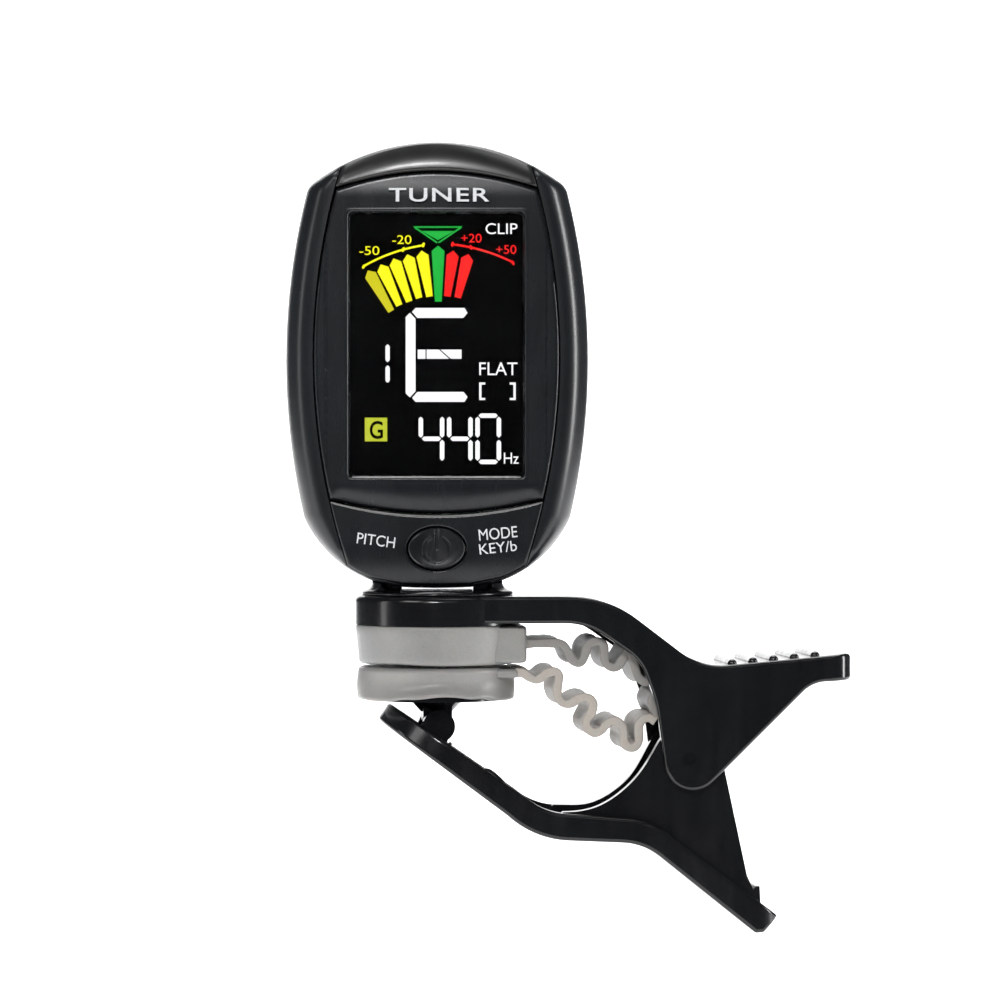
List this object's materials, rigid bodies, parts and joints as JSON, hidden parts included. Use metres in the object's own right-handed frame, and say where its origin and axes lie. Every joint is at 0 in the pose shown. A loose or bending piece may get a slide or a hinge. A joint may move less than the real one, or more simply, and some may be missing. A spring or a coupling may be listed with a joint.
{
  "type": "clip-on tuner",
  "caption": "Instrument tuner with a colour display head on a swivelling, tilting yoke, held by a sprung clip with rubber pads.",
  "frame": {"origin": "centre of the upper pad's gripping face, on the swivel axis", "axes": "+X from the jaw towards the levers, +Y away from the display side, +Z from the jaw up to the display head"},
  "size_m": [0.0662, 0.0194, 0.0924],
  "materials": {
    "shell_black": "satin moulded plastic",
    "visor_black": "semi-gloss moulded plastic",
    "clip_black": "gloss moulded plastic",
    "rubber_grey": "smooth silicone rubber",
    "steel": "plain zinc-plated steel",
    "spring_steel": "drawn spring wire",
    "lens_clear": "polished clear acrylic",
    "display_black": "black colour display",
    "backlight_white": "white diffuser",
    "board_green": "solder-masked board",
    "chip_black": "moulded chip",
    "elastomer_pink": "layered elastomer",
    "membrane_grey": "silicone key sheet",
    "cell_steel": "bright nickel-plated can",
    "brass": "piezo disc"
  },
  "bodies": {
    "upper_arm": {"upper_arm": "clip_black", "upper_pad": "rubber_grey", "friction_ring": "membrane_grey", "pivot_pin": "clip_black", "torsion_spring": "spring_steel", "strap_upper": "rubber_grey"},
    "lower_arm": {"lower_arm": "clip_black", "shoe_pin": "steel", "strap_lower": "rubber_grey"},
    "shoe": {"jaw_shoe": "clip_black", "lower_pad": "rubber_grey"},
    "yoke": {"swivel_yoke": "clip_black", "tilt_pin": "steel", "swivel_screw": "steel", "swivel_washer": "steel"},
    "head": {"front_housing": "shell_black", "rear_housing": "shell_black", "face_bezel": "shell_black", "top_visor": "visor_black", "display_lens": "lens_clear", "lcd_module": "display_black", "backlight": "backlight_white", "zebra_strips": "elastomer_pink", "main_board": "board_green", "main_chip": "chip_black", "key_membrane": "membrane_grey", "tact_switches": "chip_black", "coin_cell": "cell_steel", "negative_contact": "steel", "positive_contact": "steel", "piezo_sensor": "brass", "microphone": "cell_steel", "case_screws": "steel"},
    "rocker": {"rocker_panel": "shell_black"},
    "button": {"power_button": "visor_black"},
    "door": {"battery_door": "shell_black"}
  },
  "joints": [
    {"name": "clip_hinge", "type": "hinge", "parent": "upper_arm", "child": "lower_arm", "pos_m": [0.02886, 0, -0.01095], "axis": [0, -1, 0], "range_deg": [0, 35], "stiffness_Nm_per_rad": 0.08, "springref_deg": -57.3, "deforming": ["torsion_spring", "strap_upper"]},
    {"name": "shoe_tilt", "type": "hinge", "parent": "lower_arm", "child": "shoe", "pos_m": [-0.0001, 0, -0.0072], "axis": [0, -1, 0], "range_deg": [-35, 0], "deforming": ["strap_lower"]},
    {"name": "swivel", "type": "hinge", "parent": "upper_arm", "child": "yoke", "pos_m": [0, 0, 0.00815], "axis": [0, 0, 1], "continuous": true},
    {"name": "tilt", "type": "hinge", "parent": "yoke", "child": "head", "pos_m": [0.00026, 0.00299, 0.012], "axis": [0.9962, -0.0872, 0], "range_deg": [-85, 0]},
    {"name": "rocker_press", "type": "hinge", "parent": "head", "child": "rocker", "pos_m": [-0.00057, -0.00648, 0.0145], "axis": [0, 0, 1], "range_deg": [-2, 2], "stiffness_Nm_per_rad": 0.35},
    {"name": "power_press", "type": "slide", "parent": "head", "child": "button", "axis": [0.0872, 0.9962, 0], "range_m": [0, 0.0005], "stiffness_N_per_m": 2000},
    {"name": "door_slide", "type": "slide", "parent": "head", "child": "door", "axis": [0, 0, 1], "range_m": [0, 0.03]}
  ],
  "couplings": [
    {"joint": "shoe_tilt", "follows": "clip_hinge", "ratio": -1}
  ]
}
